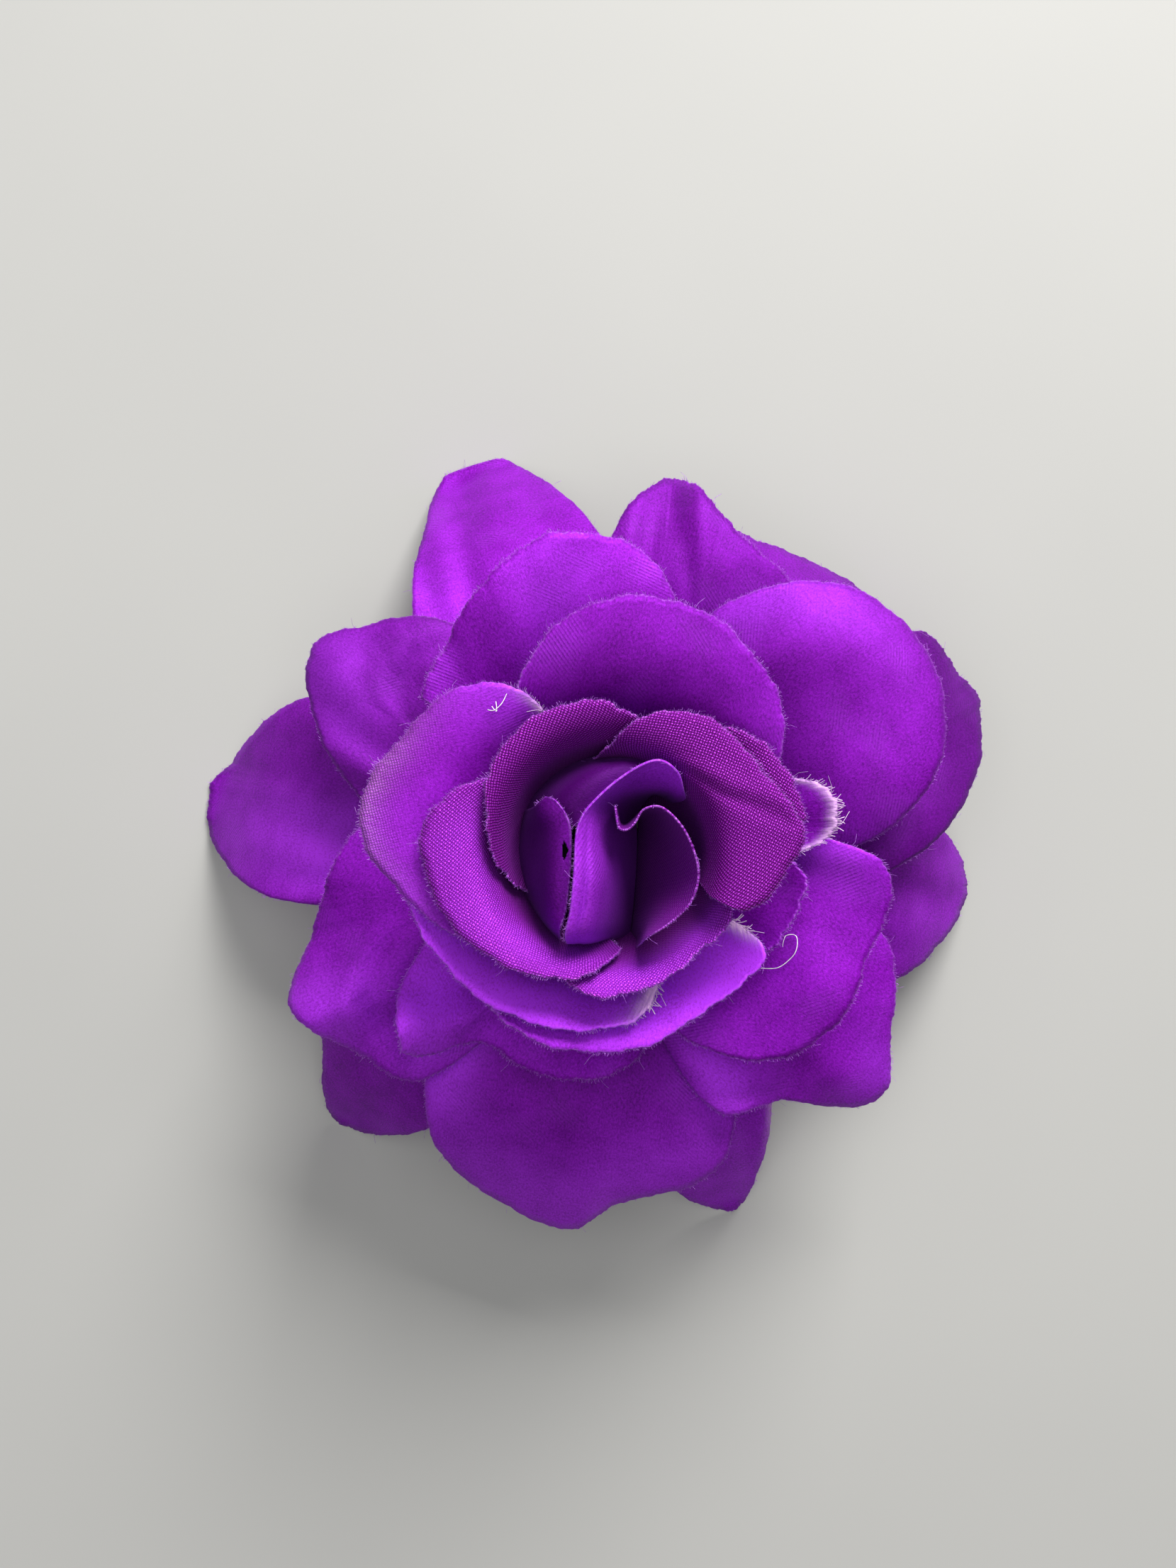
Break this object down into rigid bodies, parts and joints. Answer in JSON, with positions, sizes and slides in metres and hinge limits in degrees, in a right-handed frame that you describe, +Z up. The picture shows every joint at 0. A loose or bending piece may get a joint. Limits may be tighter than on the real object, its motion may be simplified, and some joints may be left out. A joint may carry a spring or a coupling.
{
  "type": "flower hair clip",
  "caption": "Purple fabric rose with layered petals, glued to a sprung double-prong steel hair clip.",
  "frame": {"origin": "middle of the piece's footprint, on the table it lies on", "axes": "+Z up out of the rose's face, +X along the clip towards the prong's tip, +Y across the clip"},
  "size_m": [0.1128, 0.1112, 0.0539],
  "materials": {
    "petal_cloth": "woven polyester, soft sheen, cut edges frayed",
    "felt": "felt, matt",
    "glue": "set hot-melt glue",
    "calyx_plastic": "moulded, satin",
    "core_foam": "dyed foam, matt",
    "steel": "nickel plated",
    "spring_wire": "drawn wire, bright"
  },
  "bodies": {
    "flower_and_bar": {"clip_bar": "steel", "hinge_pin": "steel", "clip_spring": "spring_wire", "felt_disc": "felt", "glue_pad": "glue", "base_cup": "calyx_plastic", "core_hub": "calyx_plastic", "bud_core": "core_foam", "outer_petal_1": "petal_cloth", "outer_petal_2": "petal_cloth", "outer_petal_3": "petal_cloth", "outer_petal_4": "petal_cloth", "outer_petal_5": "petal_cloth", "outer_petal_6": "petal_cloth", "second_petal_1": "petal_cloth", "second_petal_2": "petal_cloth", "second_petal_3": "petal_cloth", "second_petal_4": "petal_cloth", "second_petal_5": "petal_cloth", "second_petal_6": "petal_cloth", "third_petal_1": "petal_cloth", "third_petal_2": "petal_cloth", "third_petal_3": "petal_cloth", "third_petal_4": "petal_cloth", "cup_petal_1": "petal_cloth", "cup_petal_2": "petal_cloth", "cup_petal_3": "petal_cloth", "cup_petal_4": "petal_cloth", "cup_petal_5": "petal_cloth", "cup_petal_6": "petal_cloth", "bud_petal_1": "petal_cloth", "bud_petal_2": "petal_cloth", "bud_petal_3": "petal_cloth", "bud_petal_4": "petal_cloth", "bud_petal_5": "petal_cloth", "heart_petal_1": "petal_cloth", "heart_petal_2": "petal_cloth", "heart_petal_3": "petal_cloth", "heart_petal_4": "petal_cloth"},
    "prong": {"clip_prong": "steel"}
  },
  "joints": [
    {"name": "jaw_hinge", "type": "hinge", "parent": "flower_and_bar", "child": "prong", "pos_m": [-0.00415, -0.0003, 0.0087], "axis": [0, 1, 0], "range_deg": [0, 26], "stiffness_Nm_per_rad": 0.06, "springref_deg": -28.65, "deforming": ["clip_spring"]}
  ]
}
